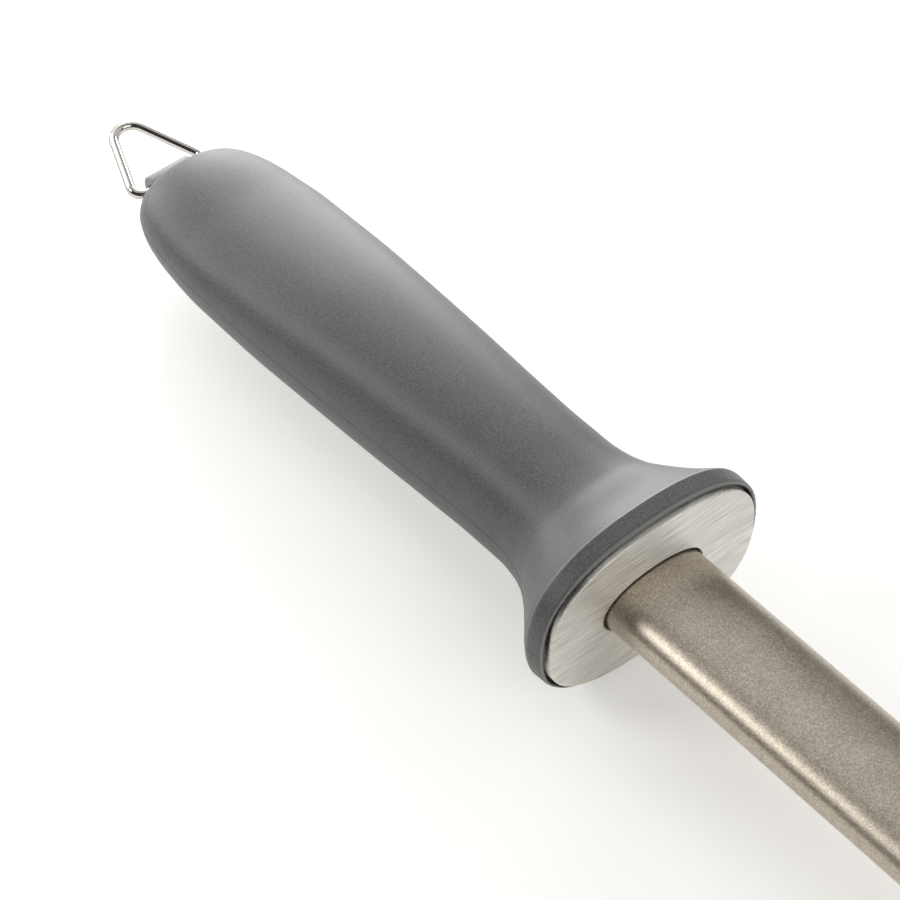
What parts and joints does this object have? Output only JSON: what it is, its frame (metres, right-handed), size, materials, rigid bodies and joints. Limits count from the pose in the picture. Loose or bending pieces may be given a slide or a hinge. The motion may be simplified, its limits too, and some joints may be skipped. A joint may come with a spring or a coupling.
{
  "type": "sharpening steel",
  "caption": "Flat-oval diamond-coated sharpening steel with an oval guard plate, a soft-skinned flared handle and a swinging wire hanging ring at the butt.",
  "frame": {"origin": "on the blade's axis at the front face of the guard plate, where the blade leaves the handle", "axes": "+X along the blade towards its tip, +Y across the blade's broad face, +Z out of the broad face"},
  "size_m": [0.4159, 0.0514, 0.0363],
  "materials": {
    "bar_steel": "ground satin",
    "diamond_grit": "fine grit in matt nickel",
    "plate_steel": "straight brushed",
    "black_seal": "matt",
    "black_collar": "matt",
    "pin_steel": "turned",
    "core_plastic": "as moulded",
    "soft_grip": "soft-touch, finely speckled",
    "eye_plastic": "satin moulded",
    "ring_chrome": "bright plated wire"
  },
  "bodies": {
    "steel": {"blade_bar": "bar_steel", "abrasive_layer": "diamond_grit", "guard_plate": "plate_steel", "plate_gasket": "black_seal", "blade_collar": "black_collar", "plate_studs": "pin_steel", "core_upper": "core_plastic", "core_lower": "core_plastic", "tang_pins": "pin_steel", "handle_skin": "soft_grip", "hanger_eye": "eye_plastic", "hanger_pin": "pin_steel"},
    "ring": {"hanger_ring": "ring_chrome"}
  },
  "joints": [
    {"name": "ring_swing", "type": "hinge", "parent": "steel", "child": "ring", "pos_m": [-0.1385, 0, -0.0023], "axis": [0, 1, 0], "range_deg": [-110, 90]}
  ]
}
